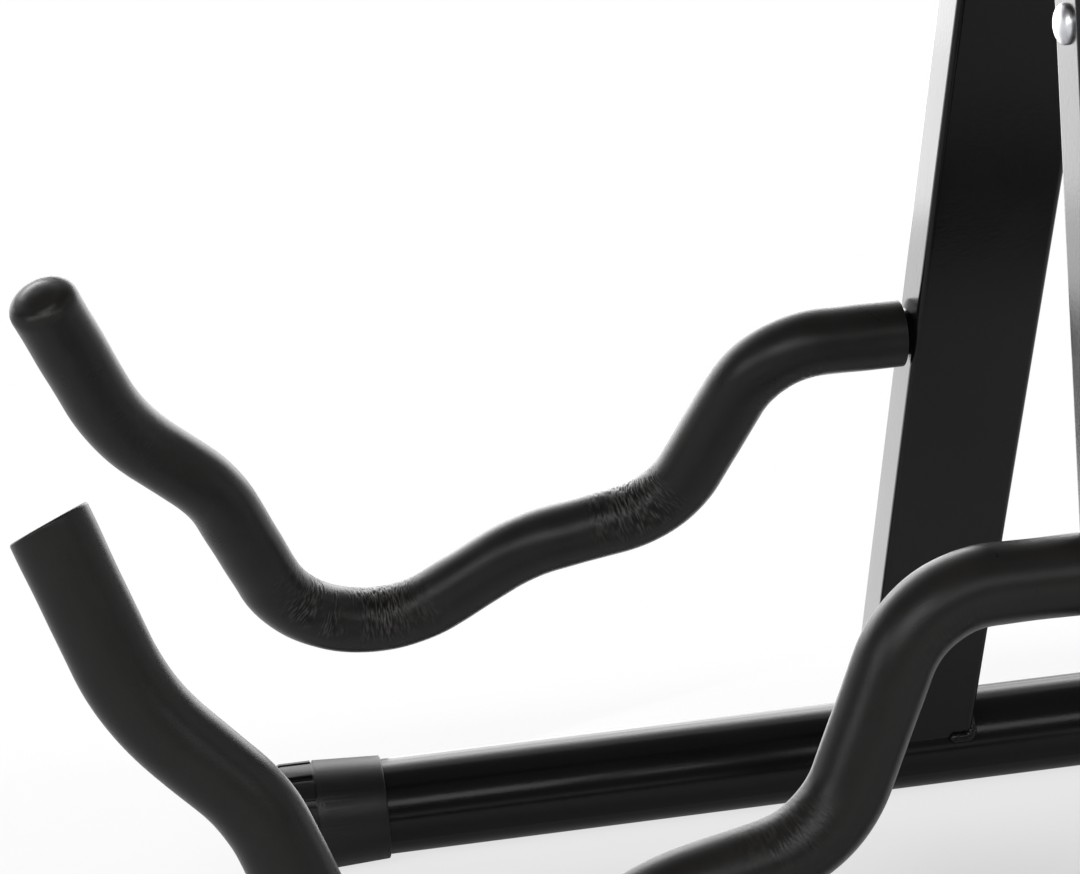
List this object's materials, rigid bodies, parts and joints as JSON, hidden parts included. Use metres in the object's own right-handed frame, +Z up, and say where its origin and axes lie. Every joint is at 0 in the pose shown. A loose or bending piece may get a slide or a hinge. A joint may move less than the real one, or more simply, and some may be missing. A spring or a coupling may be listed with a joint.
{
  "type": "guitar stand",
  "caption": "Folding A-frame guitar stand: two leaning tube legs on foot tubes with rubber caps, hinged at the top, with wavy foam-covered cradle arms and a rear hook bar.",
  "frame": {"origin": "on the floor, under the middle of the stand's width and depth", "axes": "+Z up, -Y to the front, where the cradle arms reach, +X to the right side frame"},
  "size_m": [0.2786, 0.3896, 0.393],
  "materials": {
    "black_paint": "smooth gloss black powder coat",
    "black_foam": "matte closed-cell foam",
    "black_rubber": "matte moulded rubber",
    "black_plastic": "fine-grained moulded plastic",
    "nylon": "black nylon",
    "zinc_steel": "bright zinc plate"
  },
  "bodies": {
    "left_frame": {"left_leg": "black_paint", "left_foot_tube": "black_paint", "left_leg_weld": "black_paint", "left_arm_rod": "black_paint", "left_arm_weld": "black_paint", "left_arm_foam": "black_foam", "left_front_cap": "black_rubber", "left_rear_cap": "black_rubber", "left_top_plug": "black_plastic", "left_back_pad": "black_foam", "hinge_fork": "black_paint", "hinge_thrust_washers": "nylon", "hinge_bolt": "zinc_steel", "hinge_nut": "zinc_steel", "stay_bolt": "zinc_steel", "stay_washers": "zinc_steel", "stay_nut": "zinc_steel"},
    "right_frame": {"right_leg": "black_paint", "right_foot_tube": "black_paint", "right_leg_weld": "black_paint", "right_arm_rod": "black_paint", "right_arm_weld": "black_paint", "right_arm_foam": "black_foam", "right_front_cap": "black_rubber", "right_rear_cap": "black_rubber", "right_top_plug": "black_plastic", "right_back_pad": "black_foam", "hinge_eye": "black_paint", "hinge_bush": "nylon", "latch_bolt": "zinc_steel", "latch_sleeve": "zinc_steel", "latch_washer": "zinc_steel", "latch_nut": "zinc_steel"},
    "stay": {"hook_bar": "black_paint"}
  },
  "joints": [
    {"name": "fold", "type": "hinge", "parent": "left_frame", "child": "right_frame", "pos_m": [0, 0.06782, 0.36915], "axis": [0, 1, 0], "range_deg": [0, 30.8]},
    {"name": "stay_swing", "type": "hinge", "parent": "left_frame", "child": "stay", "pos_m": [-0.03977, 0.08841, 0.30387], "axis": [0, -1, 0], "range_deg": [0, 254.6]}
  ]
}
